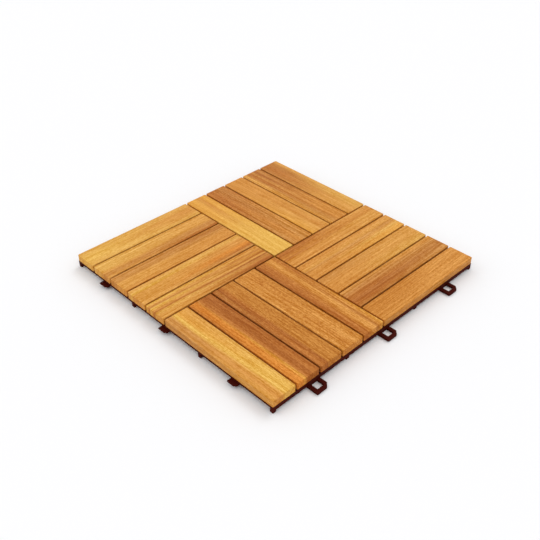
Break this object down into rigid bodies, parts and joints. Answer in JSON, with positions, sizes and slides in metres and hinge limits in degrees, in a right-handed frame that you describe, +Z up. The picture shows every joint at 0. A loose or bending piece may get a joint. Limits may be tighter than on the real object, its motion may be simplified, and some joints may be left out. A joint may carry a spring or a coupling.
{
  "type": "interlocking deck tile",
  "caption": "Square snap-together deck tile: hardwood slats in a basket weave on a moulded plastic grid base with loops on two sides and pegged tabs on the other two.",
  "frame": {"origin": "centre of the square slat field on the ground, under the middle foot", "axes": "+Z up; +X and +Y point out of the two sides with loops, -X and -Y out of the two sides with tabs"},
  "size_m": [0.3171, 0.3171, 0.015],
  "materials": {
    "base_plastic": "moulded, dark red-brown, satin",
    "screw_steel": "stainless, bright",
    "wood_left_1": "oiled hardwood, satin",
    "wood_left_2": "oiled hardwood, satin",
    "wood_left_3": "oiled hardwood, satin",
    "wood_left_4": "oiled hardwood, satin",
    "wood_left_5": "oiled hardwood, satin",
    "wood_front_1": "oiled hardwood, satin",
    "wood_front_2": "oiled hardwood, satin",
    "wood_front_3": "oiled hardwood, satin",
    "wood_front_4": "oiled hardwood, satin",
    "wood_front_5": "oiled hardwood, satin",
    "wood_right_1": "oiled hardwood, satin",
    "wood_right_2": "oiled hardwood, satin",
    "wood_right_3": "oiled hardwood, satin",
    "wood_right_4": "oiled hardwood, satin",
    "wood_right_5": "oiled hardwood, satin",
    "wood_back_1": "oiled hardwood, satin",
    "wood_back_2": "oiled hardwood, satin",
    "wood_back_3": "oiled hardwood, satin",
    "wood_back_4": "oiled hardwood, satin",
    "wood_back_5": "oiled hardwood, satin"
  },
  "bodies": {
    "root": {"base_grid": "base_plastic", "slat_left_1": "wood_left_1", "slat_left_2": "wood_left_2", "slat_left_3": "wood_left_3", "slat_left_4": "wood_left_4", "slat_left_5": "wood_left_5", "slat_front_1": "wood_front_1", "slat_front_2": "wood_front_2", "slat_front_3": "wood_front_3", "slat_front_4": "wood_front_4", "slat_front_5": "wood_front_5", "slat_right_1": "wood_right_1", "slat_right_2": "wood_right_2", "slat_right_3": "wood_right_3", "slat_right_4": "wood_right_4", "slat_right_5": "wood_right_5", "slat_back_1": "wood_back_1", "slat_back_2": "wood_back_2", "slat_back_3": "wood_back_3", "slat_back_4": "wood_back_4", "slat_back_5": "wood_back_5", "screws": "screw_steel"}
  },
  "joints": []
}
